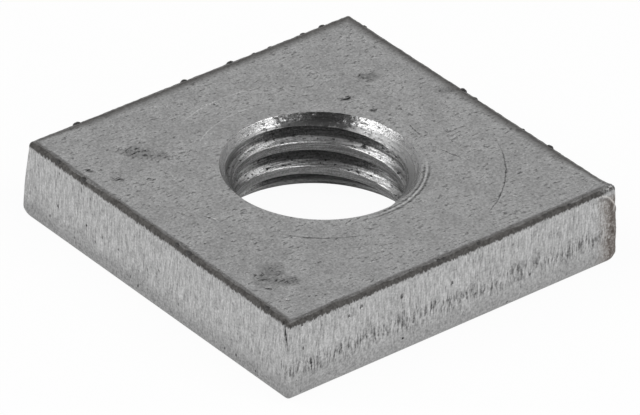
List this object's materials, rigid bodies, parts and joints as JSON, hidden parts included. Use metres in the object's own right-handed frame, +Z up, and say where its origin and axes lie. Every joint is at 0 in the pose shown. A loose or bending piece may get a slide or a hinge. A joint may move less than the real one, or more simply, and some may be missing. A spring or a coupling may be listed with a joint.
{
  "type": "channel nut",
  "caption": "Square steel plate nut with rounded lower edges and a countersunk right-hand threaded hole through its middle.",
  "frame": {"origin": "middle of the square, on the bottom face", "axes": "+Z up through the threaded hole, from the rolled bottom edge to the lipped top face; X and Y along the square's sides"},
  "size_m": [0.0222, 0.0222, 0.0049],
  "materials": {
    "plain_steel": "uncoated mild steel plate, dull grey faces, striated cut walls, dark scorched lip round the top face, shiny machined countersink and thread"
  },
  "bodies": {
    "root": {"channel_nut": "plain_steel"}
  },
  "joints": []
}
